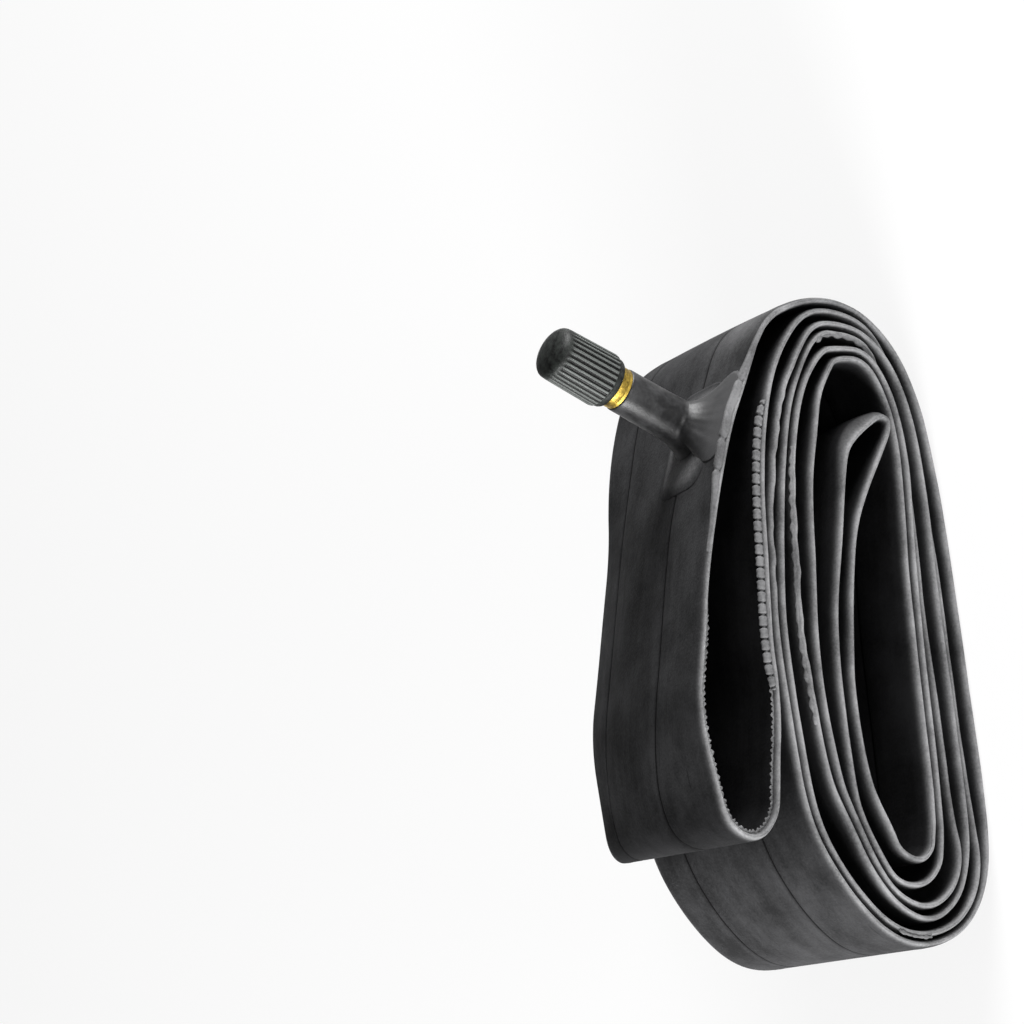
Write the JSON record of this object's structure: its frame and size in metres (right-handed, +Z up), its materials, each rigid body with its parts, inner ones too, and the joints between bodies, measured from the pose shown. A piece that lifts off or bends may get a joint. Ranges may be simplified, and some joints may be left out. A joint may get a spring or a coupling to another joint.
{
  "type": "bicycle inner tube",
  "caption": "Deflated bicycle inner tube folded double and rolled into an oval coil, with a rubber covered car-type valve and a ribbed dust cap.",
  "frame": {"origin": "middle of the tube's width and of the coil's length, on the surface that the coil stands on", "axes": "+Z up, +X along the coil's length towards the end under the valve, +Y along the tube's width, away from the side that the valve is nearer to"},
  "size_m": [0.1174, 0.046, 0.0763],
  "materials": {
    "butyl_rubber": "matt moulded butyl with a faint dusting",
    "moulded_rubber": "satin moulded rubber",
    "seal_rubber": "matt rubber",
    "stem_brass": "turned brass, lightly tarnished",
    "core_brass": "turned brass",
    "spring_steel": "drawn wire",
    "cap_plastic": "moulded plastic, fine matt grain"
  },
  "bodies": {
    "tube": {"tube_casing": "butyl_rubber", "valve_patch": "butyl_rubber", "stem_rubber": "moulded_rubber", "stem_brass": "stem_brass", "core_plug": "core_brass", "core_barrel": "core_brass", "core_gasket": "seal_rubber", "core_spring": "spring_steel"},
    "valve_pin": {"core_pin": "core_brass", "core_cup": "core_brass", "cup_washer": "seal_rubber"},
    "dust_cap": {"dust_cap": "cap_plastic"}
  },
  "joints": [
    {"name": "cap_lift", "type": "slide", "parent": "tube", "child": "dust_cap", "axis": [0.4324, 0, 0.9017], "range_m": [0, 0.014]},
    {"name": "pin_press", "type": "slide", "parent": "tube", "child": "valve_pin", "axis": [-0.4324, 0, -0.9017], "range_m": [0, 0.0015], "stiffness_N_per_m": 1200, "springref_m": -0.001, "deforming": ["core_spring"]}
  ]
}
